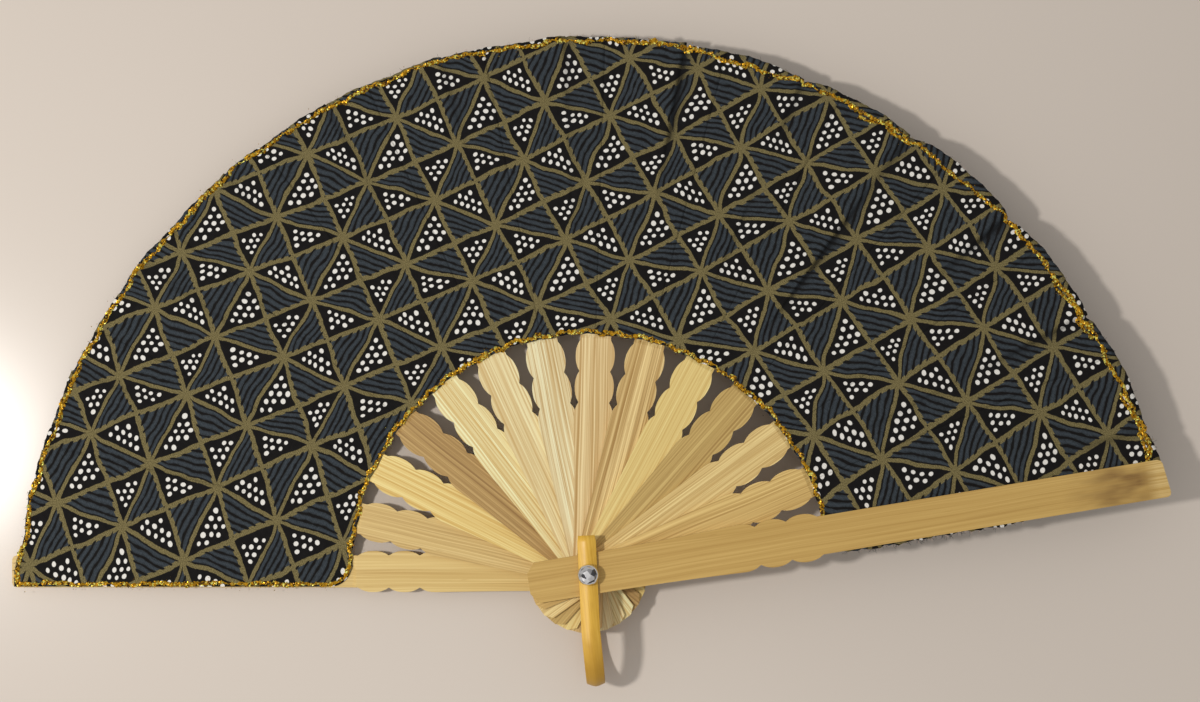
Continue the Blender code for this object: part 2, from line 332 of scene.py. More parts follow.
def drawn_dots(f, cell):
    """Rows of dots along the diagonal, left out where they would come too near a ruled line."""
    width, height = CELL_ACROSS[0], CELL_DOWN[0]
    low, turned, length = cell.low, cell.turned, cell.length
    along_width = cell.skew + width * width
    rank = f.larger(math.floor((cell.depth - DOT_FIRST_ROW) / DOT_ROW_STEP + 0.5), 0.0)
    dot_depth = rank * DOT_ROW_STEP + DOT_FIRST_ROW
    clear = (1 - low) * (1 - turned) * 0.3 + DOT_CLEAR - low * 0.3 - low * turned * 0.15
    first_gap = length * (DOT_FIRST_ROW / cell.surface)
    from_low = clear / (height * cell.upright)
    from_far = 1 - clear / (cell.upright * width) - first_gap
    middle = (from_low + from_far) * length * 0.5 + first_gap * along_width / length
    stagger = (rank % 2) * 0.5 + (1 - low) * 0.5
    place = math.floor((cell.run - middle) / DOT_SPACING - stagger + 0.5)
    dot_run = middle + (place + stagger) * DOT_SPACING
    each = f.split(f.lot(cell.column * 13 + place, cell.row * 17 + rank, cell.beyond, out=1))
    miss_run = cell.run - dot_run - (each[0] - 0.5) * DOT_SHAKE
    miss_depth = cell.depth - dot_depth - (each[1] - 0.5) * DOT_SHAKE
    from_dot = f.root(miss_run * miss_run + miss_depth * miss_depth)
    apart = dot_depth * length / cell.surface
    dot_q = (dot_run - apart * along_width / length) / length
    to_far_rule = (1 - dot_q - apart) * (width * cell.upright)
    to_low_rule = dot_q * (height * cell.upright)
    room = f.smaller(to_far_rule, to_low_rule) > clear - 0.25
    return below(f, from_dot, each[2] * 0.16 + (DOT_RADIUS - 0.08)) * room * cell.dotted


def leaf_print(name, back=False):
    """Ruled cells, each split by a wavy diagonal into a dotted half and a striped half."""
    f = Finish(name)
    bolt = f.add("ShaderNodeUVMap", {"uv_map": "cloth"})
    sway = f.moved("SUBTRACT", f.noise(bolt, 0.085, 1.0, flat=True, out=1), (0.5, 0.5, 0.0))
    shake = f.moved("SUBTRACT", f.noise(bolt, 0.75, 2.0, flat=True, out=1), (0.5, 0.5, 0.0))
    sway = f.moved("MULTIPLY", sway, (PRINT_SWAY, PRINT_SWAY, 0.0))
    shake = f.moved("MULTIPLY", shake, (PRINT_SHAKE, PRINT_SHAKE, 0.0))
    x, y, _ = f.split(f.moved("ADD", f.moved("ADD", bolt, sway), shake))
    cell = PrintCell(f, x, y)

    swell = f.noise(bolt, 0.55, 3.0, flat=True)
    bend = f.noise(bolt, 0.14, 1.0, flat=True)
    stripe_run = (cell.depth + (bend - 0.5) * 1.1 - 0.5) / STRIPE_PITCH
    stripe = abs((stripe_run % 1) * 2 - 1)
    taper = f.noise(f.moved("ADD", bolt, (31.0, 7.0, 0.0)), 0.35, 1.0, flat=True) * 0.5 + 0.1
    dark_stripe = below(f, 1 - stripe, taper, 0.2)
    teeth = (1 - cell.dotted) * (0.22 - dark_stripe * 0.5)
    olive = drawn_lines(f, cell, swell, teeth)
    outline = below(f, cell.depth, OUTLINE_END, 0.2)
    dot = drawn_dots(f, cell) * (1 - olive)

    black = paint(15, 13, 13)
    brushed = f.noise(bolt, 1.3, 3.0, 0.6, flat=True)
    slate = f.tint(f.ramp(brushed, 0.25, 0.75), paint(36, 41, 45), paint(57, 64, 70))
    slate = f.tint(below(f, stripe, 0.28, 0.3) * 0.3, slate, paint(68, 78, 88))
    ground = f.tint(dark_stripe, slate, black)
    ground = f.tint(f.larger(cell.dotted, outline), ground, black)
    grit = f.noise(bolt, 2.6, 2.0, 0.7, flat=True)
    gold_green = f.tint(f.ramp(grit, 0.25, 0.75), paint(80, 72, 42), paint(139, 127, 86))
    colour = f.tint(olive, ground, gold_green)
    colour = f.tint(dot, colour, paint(232, 230, 224))
    # Painted shade: the valleys of the sharp folds are darkened towards near black.
    painted_crease_shade = f.add("ShaderNodeAttribute", {"attribute_name": "painted_crease_shade"}, out=2)
    colour = f.tint(painted_crease_shade, colour, paint(9, 9, 11))

    u, v, _ = f.split(bolt)
    thread_wave = f.sine((u * 0.8 + v * 0.6) * (TAU / 0.62)) * 0.5 + 0.5
    cross_wave = f.sine((u * 0.35 - v) * (TAU / 0.5)) * 0.5 + 0.5
    weave = thread_wave * 0.65 + cross_wave * 0.35
    colour = f.tint(0.28, colour, f.tint(weave, (0.25, 0.25, 0.25, 1), (1, 1, 1, 1)), "MULTIPLY")
    if back:
        colour = f.tint(0.42, colour, paint(128, 126, 118))
    lint = f.noise(bolt, 0.5, 3.0, 0.6, flat=True)
    height_map = weave * 0.5 + olive * 0.12 + lint * 0.9
    return f.close(
        Base_Color=colour,
        Roughness=f.ramp(lint, 0.2, 0.8, 0.78, 0.92),
        Normal=f.bump(height_map, 0.16 * MM, 0.8),
        Sheen_Weight=0.03,
        Specular_IOR_Level=0.2,
    )


def bamboo(name, angle, dark, base, light, contrast, seed, smudge=False):
    """Split bamboo with its fibres along the stick. Lengths along and across the stick are in mm."""
    f = Finish(name)
    x, y, z = f.split(f.surface_place())
    scale = 1 / MM
    along = x * (math.cos(angle) * scale) + y * (math.sin(angle) * scale)
    across = x * (-math.sin(angle) * scale) + y * (math.cos(angle) * scale)
    drift = f.noise(f.joined(along * 0.02, across * 0.1, seed), 1.0, 1.0)
    across = across + (drift - 0.5) * 1.6
    level = z * (scale * 0.6) + seed
    fibre = f.noise(f.joined(along * 0.011, across * 1.7, level), 1.0, 3.0, 0.62)
    streak = f.noise(f.joined(along * 0.008, across * 0.85, seed + 7), 1.0, 2.0)
    band = f.noise(f.joined(along * 0.006, across * 0.22, seed + 13), 1.0, 1.0)
    fleck = f.noise(f.joined(along * 0.12, across * 1.6, seed + 21), 1.0, 2.0)
    tone = f.ramp(streak * 0.55 + band * 0.25 + fibre * 0.2, 0.5 - 0.17 / contrast, 0.5 + 0.17 / contrast)
    colour = f.tint(tone, dark, light)
    colour = f.tint(0.45, colour, base)
    colour = f.tint(f.ramp(fibre, 0.54, 0.64) * (0.7 * contrast), colour, light)
    colour = f.tint(f.ramp(fibre, 0.46, 0.36) * (0.65 * contrast), colour, dark)
    colour = f.tint(f.ramp(fleck, 0.66, 0.78) * 0.35, colour, dark)
    if smudge:
        soot = f.noise(f.joined(along * 0.06, across * 0.2, seed + 3), 1.0, 2.0, 0.5)
        reach = f.ramp(along, 170.0, 190.0) * f.ramp(along, 205.0, 198.0)
        shade = f.ramp(soot, 0.3, 0.62) * reach * (f.ramp(fibre, 0.3, 0.6) * 0.3 + 0.6)
        colour = f.tint(shade, colour, paint(118, 86, 42))
        tip = f.ramp(along, 200.5, 204.5) * f.ramp(fibre, 0.4, 0.6)
        colour = f.tint(tip * 0.55, colour, paint(222, 196, 138))
    height = fibre * 0.7 + streak * 0.5
    return f.close(
        Base_Color=colour,
        Roughness=f.ramp(streak, 0.3, 0.7, 0.42, 0.6),
        Normal=f.bump(height, 0.12 * MM, 0.7),
        Specular_IOR_Level=0.4,
    )


def cane():
    """Yellow lacquered cane, its skin streaked along the loop."""
    f = Finish("loop_cane")
    x, y, z = f.split(f.surface_place())
    scale = 1 / MM
    across = x * scale + y * (0.035 * scale)
    along = y * scale + z * scale * 0.7
    streak = f.noise(f.joined(along * 0.05, across * 1.7, 3.0), 1.0, 3.0)
    stain = f.noise(f.joined(along * 0.11, across * 0.3, 8.0), 1.0, 2.0)
    colour = f.tint(f.ramp(streak, 0.25, 0.75), paint(204, 156, 42), paint(228, 184, 76))
    colour = f.tint(f.ramp(stain, 0.5, 0.75) * 0.4, colour, paint(176, 126, 24))
    # Darker towards the bend and along the lower leg.
    colour = f.tint(f.ramp(along, -2.0, -18.0) * 0.7, colour, paint(166, 122, 34))
    return f.close(
        Base_Color=colour,
        Roughness=f.ramp(streak, 0.3, 0.7, 0.38, 0.5),
        Normal=f.bump(streak, 0.06 * MM, 0.5),
        Coat_Weight=0.1,
        Coat_Roughness=0.3,
    )


def facets(f, cells, lean):
    """The surface's direction, tilted at random from cell to cell."""
    tilt = f.moved("MULTIPLY", f.moved("SUBTRACT", cells, (0.5, 0.5, 0.5)), lean)
    return f.level(f.moved("ADD", f.add("ShaderNodeNewGeometry", {}, out=1), tilt))


def glitter():
    """Gold glitter in glue: grains of gold and brown, with a painted sparkle on some bright grains."""
    f = Finish("gold_glitter")
    grain = f.add("ShaderNodeTexVoronoi", {}, Vector=f.surface_place(), Scale=1 / (0.55 * MM), out=1)
    red, green, _ = f.split(grain)
    colour = f.tint(f.ramp(red, 0.15, 0.6), paint(66, 42, 8), paint(206, 154, 28))
    # Painted sparkle: some grains are painted pale and bright.
    colour = f.tint(f.ramp(green, 0.8, 0.9), colour, paint(255, 232, 120))
    return f.close(
        Base_Color=colour,
        Metallic=0.75,
        Roughness=f.ramp(green, 0.0, 1.0, 0.22, 0.45),
        Normal=facets(f, grain, (1.3, 1.3, 0.6)),
    )


def cut_stone():
    """Foiled crystal: facets drawn by cells, each painted bright or dark as a painted reflection of the light or the
    dark.
    """
    f = Finish("rivet_stone")
    facet = f.add("ShaderNodeTexVoronoi", {}, Vector=f.surface_place(), Scale=1 / (1.7 * MM), out=1)
    red, green, _ = f.split(facet)
    # Painted reflection: each facet is painted near white or near black.
    colour = f.tint(f.ramp(red, 0.3, 0.7), (0.05, 0.05, 0.055, 1), (0.95, 0.95, 0.97, 1))
    return f.close(
        Base_Color=colour,
        Metallic=0.6,
        Roughness=f.ramp(green, 0, 1, 0.06, 0.16),
        Normal=facets(f, facet, (0.7, 0.7, 0.3)),
        Coat_Weight=1.0,
        Coat_Roughness=0.03,
    )


def plain(name, colour, dim, roughness, metallic=0.0, grain_mm=0.6):
    """An almost even finish with faint grain in colour, gloss and surface."""
    f = Finish(name)
    grain = f.noise(f.surface_place(), 1 / (grain_mm * MM), 3.0)
    return f.close(
        Base_Color=f.tint(grain, dim, colour),
        Roughness=f.ramp(grain, 0.3, 0.7, roughness * 0.8, roughness * 1.2),
        Metallic=metallic,
        Normal=f.bump(grain, 0.02 * MM, 0.5),
    )


# ---------------------------------------------------------------- shapes


def stick_angle(index):
    """A stick's direction from +X: the back guard is number 0, the front guard the last."""
    return math.pi / 2 + SPREAD / 2 - index * PITCH


def unit(angle):
    return np.array((math.cos(angle), math.sin(angle)))


def wander(value, *waves):
    """A smooth hand-made waver: the sum of (size, length, phase) waves."""
    return sum(size * np.sin(TAU * (value / length) + phase) for size, length, phase in waves)


def grown_radius(angle):
    """The leaf's round outline, growing towards both ends."""
    share = np.minimum(abs(angle - math.pi / 2) / (SPREAD / 2), 1)
    return LEAF_OUTER + LEAF_END_GROWTH * share**LEAF_GROWTH_POWER


class Outline:
    """The cut outer edge: nearly straight from corner to corner, with a nick past each corner."""

    def __init__(self, seed):
        draw = random.Random(seed)
        self.folds = [draw.uniform(0.615, 0.675) for _ in range(STICK_COUNT - 1)]
        self.corners = [-0.4] + [index + fold for index, fold in enumerate(self.folds)] + [STICK_COUNT - 0.6]
        self.bulges, self.nicks = [], []
        for index in range(STICK_COUNT):
            loose = index > 7
            self.bulges.append(draw.uniform(1.9, 3.1) * MM if loose else draw.uniform(0.1, 0.5) * MM)
            self.nicks.append(draw.uniform(0.7, 1.5) * MM if loose else draw.uniform(0.25, 0.8) * MM)

    def chord(self, angle):
        """The straight line between corners, how far along it a direction is, and its number."""
        place = (stick_angle(0) - np.asarray(angle, float)) / PITCH
        number = np.clip(np.searchsorted(self.corners, place) - 1, 0, len(self.corners) - 2)
        starts, ends = np.array(self.corners)[number], np.array(self.corners)[number + 1]
        first, last = stick_angle(starts), stick_angle(ends)
        lift = np.where(starts > 6.9, -0.5, 0.45) * MM
        near, far = grown_radius(first) + lift, grown_radius(last) + lift
        line = near * far * np.sin(first - last) / (near * np.sin(first - angle) + far * np.sin(angle - last))
        return line, (place - starts) / (ends - starts), number

    def outer(self, angle):
        line, along, number = self.chord(angle)
        bulge, nick = np.array(self.bulges)[number], np.array(self.nicks)[number]
        past = along * PANEL_RUN
        run = np.degrees(angle)
        ragged = wander(run, (0.22, 7.3, 0.4), (0.15, 3.1, 1.9), (0.12, 1.13, 0.2)) * MM
        dip = nick * np.exp(-past / 2.6) * np.clip(past / 0.35, 0, 1)
        return line + bulge * 4 * along * (1 - along) - dip * (number > 0) + ragged

    def glue(self, angle):
        """The line that the glitter was laid along, just inside the corners."""
        line = self.chord(angle)[0]
        run = np.degrees(angle)
        inset = 1.0 + wander(run, (0.38, 5.3, 0.2), (0.22, 2.2, 1.0), (0.3, 23.0, 2.0))
        return np.minimum(line, self.outer(angle) - 0.35 * MM) - inset * MM


OUTLINE = Outline(4)


def outer_radius(angle):
    return OUTLINE.outer(angle)


def inner_radius(angle):
    run = np.degrees(angle)
    return LEAF_INNER + wander(run, (0.25, 17.0, 0.9), (0.18, 6.1, 2.2), (0.08, 2.3, 0.1)) * MM


def cloth_level(index):
    """The underside of the cloth where it is glued to a stick."""
    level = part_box(LEAF_NODES[index])[0].z
    return level - CLOTH_SETTLE if 0 < index < STICK_COUNT - 1 else level


def smooth(value, start, end):
    share = np.clip((value - start) / (end - start), 0, 1)
    return share * share * (3 - 2 * share)


# The sharp folds: panel, deepest point and reach along the leaf in mm, depth in mm.
SHARP_FOLDS = [
    (1, 188, 22, 0.3), (2, 176, 30, 0.35), (3, 190, 24, 0.3), (4, 182, 26, 0.4), (5, 188, 30, 0.5),
    (6, 190, 26, 0.7), (6, 140, 20, 0.4), (7, 180, 34, 1.4), (8, 188, 20, 0.8), (8, 132, 22, 0.5),
    (9, 142, 30, 1.3), (9, 192, 14, 0.9), (10, 190, 22, 1.2), (11, 186, 26, 0.9), (11, 130, 24, 0.4),
    (12, 192, 18, 0.5),
]  # fmt: skip


class Folds:
    """The leaf's sharp folds and soft creases, drawn once for the whole fan."""

    def __init__(self, seed):
        draw = random.Random(seed)
        self.creases = []
        for index in range(STICK_COUNT - 1):
            lively = 1.3 if index in (5, 6, 7, 8, 9, 10) else 0.7
            for _ in range(5):
                self.creases.append(
                    (
                        stick_angle(index) - PITCH * draw.uniform(0.15, 0.85),
                        draw.uniform(-0.16, 0.16),
                        draw.uniform(1.0, 3.0) * MM,
                        draw.uniform(95, 190) * MM,
                        draw.uniform(9, 40) * MM,
                        draw.choice((-1, 1)) * draw.uniform(0.08, 0.3) * MM * lively,
                    )
                )

    def height(self, index, share, radius, angle):
        total = 0
        for centre, lean, wide, middle, length, lift in self.creases:
            if abs(stick_angle(index) - PITCH / 2 - centre) > PITCH:
                continue
            aside = (angle - centre) * radius - lean * (radius - middle)
            total = total + lift * np.exp(-((aside / wide) ** 2)) * np.exp(-(((radius - middle) / length) ** 2))
        return total - self.valley(index, share, radius)

    def valley(self, index, share, radius):
        """How deep the panel's sharp fold is."""
        past = (share - OUTLINE.folds[index]) * PANEL_RUN
        total = 0 * radius
        for panel, middle, length, depth in SHARP_FOLDS:
            if panel == index:
                total = total + depth * MM * np.exp(-(np.abs((radius / MM - middle) / length) ** 2.6))
        return total * np.where(past < 0, np.exp(-((past / 1.1) ** 2)), np.exp(-past / 1.7))


FOLDS = Folds(11)

# A panel's mesh: steps across and along it and over a guard, then the extra ones round its fold, in mm.
ACROSS_STEPS = 34
ALONG_STEPS = 74
MARGIN_STEPS = 8
FOLD_STEPS = (-3, -2.2, -1.6, -1.1, -0.75, -0.5, -0.25, 0, 0.25, 0.55, 0.9, 1.4, 2, 2.8, 3.8)


def cloth_height(index, share, radius, angle):
    """The cloth's underside between stick index and the next one, at a share of the way across."""
    start, end = cloth_level(index), cloth_level(index + 1)
    slip = SLIP_FOOT + (SLIP_TOP - SLIP_FOOT) * smooth(radius, *SLIP_NARROWS)
    hold = np.minimum(slip / (PITCH * radius), 0.3)
    rise = smooth(share, hold, 0.5) * 0.24 + smooth(share, 0.5, 1 - hold) * 0.76
    loose = smooth(share, hold, hold + 0.12) * smooth(1 - share, hold, hold + 0.12)
    wave = np.sin(math.pi * share) * 0.2 * MM + FOLDS.height(index, share, radius, angle)
    return start + (end - start) * rise + loose * wave


def bolt_place(spots):
    """Where points of the leaf lay on the flat cloth, in mm."""
    radius = np.hypot(spots[:, 0], spots[:, 1]) / MM - BOLT_SHIFT
    aside = np.arctan2(spots[:, 1], spots[:, 0]) % TAU - math.pi / 2
    angle = math.pi / 2 + aside * BOLT_TURN - aside**3 * BOLT_EASE
    return np.stack((radius * np.cos(angle), radius * np.sin(angle)), 1)


def back_corner(aside):
    """How far the rounded inner corner at the back guard cuts into the leaf."""
    into = np.clip(aside + CORNER_RADIUS - BACK_MARGIN, 0, CORNER_RADIUS * 0.999)
    return CORNER_RADIUS - np.sqrt(CORNER_RADIUS**2 - into**2)


def fray(radius):
    """How far the raw edge shows past the front guard, by distance from the pivot."""
    shown = smooth(radius, 86 * MM, 96 * MM) * smooth(-radius, -164 * MM, -148 * MM)
    ragged = wander(radius / MM, (0.35, 9.1, 0.3), (0.3, 3.7, 2.0), (0.28, 1.7, 1.1))
    return FRONT_MARGIN + shown * (FRAY_REACH + ragged * MM)


def leaf_columns(index):
    """The cloth's underside on one panel, as columns of points from its inner to its outer edge."""
    first, last = stick_angle(index), stick_angle(index + 1)
    steps = np.arange(ALONG_STEPS + 1) / ALONG_STEPS
    columns = []
    if index == 0:
        ahead, beside = unit(first), unit(first + math.pi / 2)
        for step in range(MARGIN_STEPS):
            aside = BACK_MARGIN * math.cos(step / MARGIN_STEPS * math.pi / 2)
            inner = inner_radius(first) + back_corner(aside)
            run = inner + (end_radius(first) - inner) * steps
            spots = np.outer(run, ahead) + beside * aside
            columns.append(np.column_stack((spots, np.full(len(run), cloth_level(0)))))
    even = {i / ACROSS_STEPS for i in range(ACROSS_STEPS + 1)}
    for share in sorted(even | {OUTLINE.folds[index] + step / PANEL_RUN for step in FOLD_STEPS}):
        angle = first + (last - first) * share
        inner, outer = inner_radius(angle), end_radius(angle)
        if index == 0:
            inner += back_corner(-inner * math.sin(first - angle))
        radius = inner + (outer - inner) * steps
        columns.append(np.column_stack((np.outer(radius, unit(angle)), cloth_height(index, share, radius, angle))))
    if index == STICK_COUNT - 2:
        ahead, beside = unit(last), unit(last - math.pi / 2)
        run = inner_radius(last) + (end_radius(last) - inner_radius(last)) * steps
        for step in range(1, MARGIN_STEPS + 1):
            spots = np.outer(run, ahead) + np.outer(fray(run) * step / MARGIN_STEPS, beside)
            columns.append(np.column_stack((spots, np.full(len(run), cloth_level(index + 1)))))
    return np.array(columns)


def end_radius(angle):
    """The outer edge, drawn out over the back guard's tip."""
    return outer_radius(angle) + TIP_OVERHANG * smooth(angle, stick_angle(0.35), stick_angle(0))


def new_piece(name, mesh_builder, *finishes):
    mesh = bpy.data.meshes.new(name)
    mesh_builder.to_mesh(mesh)
    mesh_builder.free()
    for finish in finishes:
        mesh.materials.append(finish)
    made = bpy.data.objects.new(name, mesh)
    bpy.context.scene.collection.objects.link(made)
    return made


def leaf_crease_shade(index, spots):
    """How much painted shade each point gets along the panel's sharp folds, 0 to 1."""
    radius = np.hypot(spots[:, 0], spots[:, 1])
    share = (stick_angle(index) - np.arctan2(spots[:, 1], spots[:, 0]) % TAU) / PITCH
    return np.clip(FOLDS.valley(index, share - 0.006, radius) / MM * 0.75, 0, 0.8).astype(np.float32)


def leaf_panel(index, front_print, back_print):
    """One gore of the leaf as cloth with a face, a back and a raw edge."""
    columns = leaf_columns(index)
    count, rows, _ = columns.shape
    under = columns.reshape(-1, 3)
    over = under + (0, 0, CLOTH_THICKNESS)
    number = np.arange(count * rows).reshape(count, rows)
    near, far = number[:-1, :-1].ravel(), number[:-1, 1:].ravel()
    beyond, beside = number[1:, 1:].ravel(), number[1:, :-1].ravel()
    backs = np.column_stack((near, beside, beyond, far))
    faces = backs[:, ::-1] + count * rows
    rim = np.concatenate((number[0, :], number[1:, -1], number[-1, -2::-1], number[-2:0:-1, 0]))
    onward = np.roll(rim, -1)
    sides = np.column_stack((rim + count * rows, rim, onward, onward + count * rows))
    mesh = bpy.data.meshes.new(f"leaf_panel_{index + 1:02d}")
    spots = np.concatenate((under, over))
    mesh.from_pydata(spots.tolist(), [], np.concatenate((backs, faces, sides)).tolist())
    kinds = np.zeros(len(mesh.polygons), np.int32)
    kinds[: len(backs)] = 1
    mesh.polygons.foreach_set("material_index", kinds)
    smoothed = np.arange(len(mesh.polygons)) < 2 * len(backs)
    mesh.polygons.foreach_set("use_smooth", smoothed)
    corners = np.empty(len(mesh.loops), np.int32)
    mesh.loops.foreach_get("vertex_index", corners)
    mesh.uv_layers.new(name="cloth").data.foreach_set("uv", bolt_place(spots)[corners].ravel())
    # Painted shade along the sharp folds, kept on the points for the print.
    crease_shade_amounts = leaf_crease_shade(index, spots)
    mesh.attributes.new("painted_crease_shade", "FLOAT", "POINT").data.foreach_set("value", crease_shade_amounts)
    mesh.materials.append(front_print)
    mesh.materials.append(back_print)
    piece = bpy.data.objects.new(mesh.name, mesh)
    bpy.context.scene.collection.objects.link(piece)
    return piece


def bend_across(piece):
    """The piece's placement is baked into its mesh, and it stays where it is made."""
    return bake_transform(piece)


def make_leaf():
    front_print = leaf_print("leaf_print")
    back_print = leaf_print("leaf_print_back", back=True)
    for index in range(STICK_COUNT - 1):
        piece = leaf_panel(index, front_print, back_print)
        outer, inner = float(outer_radius(stick_angle(index + 0.5))), LEAF_INNER
        nodes = [LEAF_NODES[index]] + ([LEAF_NODES[-1]] if index == STICK_COUNT - 2 else [])
        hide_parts(*nodes)
        bend_across(piece)


def surface_at(index, angle, radius):
    """The top of the cloth on panel index, at a direction and a distance from the pivot."""
    share = min(max((stick_angle(index) - angle) / PITCH, 0), 1)
    return cloth_height(index, share, radius, angle) + CLOTH_THICKNESS


BEAD_STEP = 0.42 * MM
TWICE_GLUED_PANELS = (9, 11, 12)
THIRDS = (0, 2.1, 4.2)


def bead(skin, spots, draw, half_width=0.82 * MM, height=0.45 * MM, gaps=0.03, strays=0.35):
    """A lumpy bead of glue and glitter along (x, y, z) spots, with stray grains beside it."""
    lumps, gap, blob = [], 0, 0
    for _ in spots:
        blob = draw.randint(3, 6) if blob == 0 and draw.random() < 0.05 else max(blob - 1, 0)
        lumps.append(draw.uniform(0.55, 1.2) * (1.45 if blob else 1))
        if gap > 0:
            lumps[-1] *= 0.3
            gap -= 1
        elif draw.random() < gaps:
            gap = draw.randint(2, 6)
    rings = []
    drift = 0
    for i, spot in enumerate(spots):
        ahead, behind = spots[min(i + 1, len(spots) - 1)], spots[max(i - 1, 0)]
        along = Vector((ahead[0] - behind[0], ahead[1] - behind[1], 0)).normalized()
        beside = Vector((-along.y, along.x, 0))
        size = (lumps[i] + lumps[max(i - 1, 0)] * 0.5) / 1.5
        drift = drift * 0.8 + draw.uniform(-0.16, 0.16) * MM
        ring = []
        for k in range(7):
            turn = math.pi * k / 6
            rough = draw.uniform(0.75, 1.25)
            out = beside * (math.cos(turn) * half_width * size * rough + drift)
            up = Vector((0, 0, math.sin(turn) * height * (0.6 + 0.4 * size) * rough - 0.03 * MM))
            ring.append(skin.verts.new(Vector(spot) + out + up))
        rings.append(ring)
        if draw.random() < strays:
            fleck(skin, Vector(spot) + beside * draw.gauss(0, 1.25) * MM, draw)
    for ring, following in zip(rings, rings[1:]):
        for k in range(6):
            skin.faces.new((ring[k], ring[k + 1], following[k + 1], following[k]))
        skin.faces.new((ring[6], ring[0], following[0], following[6]))
    skin.faces.new(rings[0])
    skin.faces.new(reversed(rings[-1]))


def fleck(skin, spot, draw):
    """One loose fleck of glitter: a little four-sided chip."""
    size = draw.uniform(0.14, 0.3) * MM
    turn = draw.uniform(0, TAU)
    feet = [spot + Vector((math.cos(turn + t) * size, math.sin(turn + t) * size, -0.05 * MM)) for t in THIRDS]
    corners = [skin.verts.new(foot) for foot in feet] + [skin.verts.new(spot + Vector((0, 0, size * 0.7)))]
    for k in ((0, 2, 1), (0, 1, 3), (1, 2, 3), (2, 0, 3)):
        skin.faces.new([corners[i] for i in k])


def thread(skin, start, direction, length, radius, draw, material_index):
    """One loose cotton thread: a thin bent tube."""
    spot, heading = Vector(start), Vector(direction).normalized()
    rings = []
    steps = 5
    for i in range(steps + 1):
        beside = heading.cross(Vector((0, 0, 1))).normalized()
        above = heading.cross(beside)
        size = radius * (1 - 0.6 * i / steps)
        points = [spot + beside * math.cos(t) * size + above * math.sin(t) * size for t in THIRDS]
        rings.append([skin.verts.new(point) for point in points])
        spot = spot + heading * (length / steps)
        stray = Vector((draw.uniform(-1, 1), draw.uniform(-1, 1), draw.uniform(-0.25, 0.15)))
        heading = (heading + stray * 0.55).normalized()
    faces = [skin.faces.new(rings[0]), skin.faces.new(reversed(rings[-1]))]
    for ring, following in zip(rings, rings[1:]):
        for k in range(3):
            faces.append(skin.faces.new((ring[k], ring[(k + 1) % 3], following[(k + 1) % 3], following[k])))
    for face in faces:
        face.material_index = material_index


def path_across(index, radius_at, length, start=0.0, end=1.0):
    """Spots on top of the cloth across a panel, or across part of it, one bead step apart."""
    count = int(PITCH * length * (end - start) / BEAD_STEP)
    path = []
    for i in range(count + 1):
        angle = stick_angle(index) - PITCH * (start + (end - start) * i / count)
        radius = radius_at(angle)
        path.append((*(unit(angle) * radius), surface_at(index, angle, radius)))
    return path


def outer_glitter(angle):
    return float(OUTLINE.glue(angle) + end_radius(angle) - outer_radius(angle))


def inner_glitter(angle):
    return inner_radius(angle) + (1.0 + wander(math.degrees(angle), (0.25, 6.0, 0.5), (0.2, 2.7, 2.0))) * MM


def inner_glitter_round_corner(angle):
    radius = inner_glitter(angle)
    return radius + back_corner(-radius * math.sin(stick_angle(0) - angle))


def second_glitter(angle):
    return OUTLINE.glue(angle) - (1.4 + wander(math.degrees(angle), (0.5, 4.1, 0.0))) * MM


def make_trim(gold, dark_thread, pale_thread):
    """The glitter edging and the raw edge's loose threads, one piece a panel."""
    for index in range(STICK_COUNT - 1):
        draw = random.Random(100 + index)
        skin = bmesh.new()
        bead(skin, path_across(index, outer_glitter, LEAF_OUTER), draw)
        inner = inner_glitter if index else inner_glitter_round_corner
        bead(skin, path_across(index, inner, LEAF_INNER), draw, height=0.32 * MM)
        if index == 0:
            add_back_edge_beads(skin, draw)
        if index in TWICE_GLUED_PANELS:
            start, end = draw.uniform(0.1, 0.3), draw.uniform(0.6, 0.95)
            bead(skin, path_across(index, second_glitter, LEAF_OUTER, start, end), draw, half_width=0.6 * MM)
        for _ in range(26 if index > 8 else 12):
            angle = stick_angle(index) - PITCH * draw.random()
            radius = end_radius(angle) - 0.3 * MM
            start = (*(unit(angle) * radius), surface_at(index, angle, radius) - 0.12 * MM)
            way = (*unit(angle + draw.uniform(-1.0, 1.0)), 0)
            thread(skin, start, way, draw.uniform(0.6, 1.9) * MM, 0.07 * MM, draw, draw.choice((1, 2, 2)))
        bmesh.ops.recalc_face_normals(skin, faces=skin.faces)
        piece = new_piece(f"glitter_edging_{index + 1:02d}", skin, gold, dark_thread, pale_thread)
        bend_across(piece)


def add_back_edge_beads(skin, draw):
    """The bead down the leaf's straight end over the back guard, round its inner corner and back along the tip."""
    first = stick_angle(0)
    ahead, beside = unit(first), unit(first + math.pi / 2)
    top = cloth_level(0) + CLOTH_THICKNESS
    inset = 1.0 * MM
    inner, outer = inner_radius(first), end_radius(first)
    tip = outer - 1.2 * MM
    places = []
    for i in range(14):
        aside = (BACK_MARGIN - inset) * i / 13
        places.append((inner + inset + back_corner(aside + 0.6 * MM), aside))
    start = inner + inset + back_corner(BACK_MARGIN - 0.4 * MM)
    count = int((outer - start) / BEAD_STEP)
    for i in range(1, count):
        along = start + (tip - start) * i / count
        places.append((along, BACK_MARGIN - inset - wander(along / MM, (0.25, 19.0, 0.4), (0.15, 7.0, 1.3)) * MM))
    places += [(tip, BACK_MARGIN * (1 - i / 8) - inset) for i in range(8)]
    bead(skin, [(*(ahead * along + beside * aside), top) for along, aside in places], draw)


